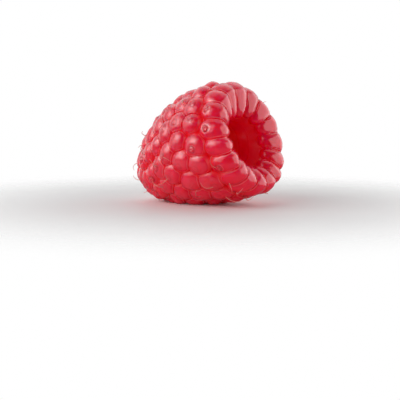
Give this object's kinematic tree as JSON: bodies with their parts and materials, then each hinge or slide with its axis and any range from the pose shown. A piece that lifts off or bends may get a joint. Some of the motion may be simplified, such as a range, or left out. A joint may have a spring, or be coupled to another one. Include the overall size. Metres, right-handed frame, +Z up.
{
  "type": "raspberry",
  "caption": "Picked raspberry lying on its side, a hollow cone of red drupelets fused in rings and rolled over the rim of its open mouth.",
  "frame": {"origin": "on the resting surface, under the middle of the berry's bounding box", "axes": "+X the way the hollow mouth faces, +Z up from the surface the berry lies on; the berry's own axis lies in the XZ plane and rises 8 degrees towards the mouth"},
  "size_m": [0.0254, 0.0206, 0.0206],
  "materials": {
    "flesh": "gloss",
    "styles": "matte"
  },
  "bodies": {
    "root": {"berry": "flesh"}
  },
  "joints": []
}
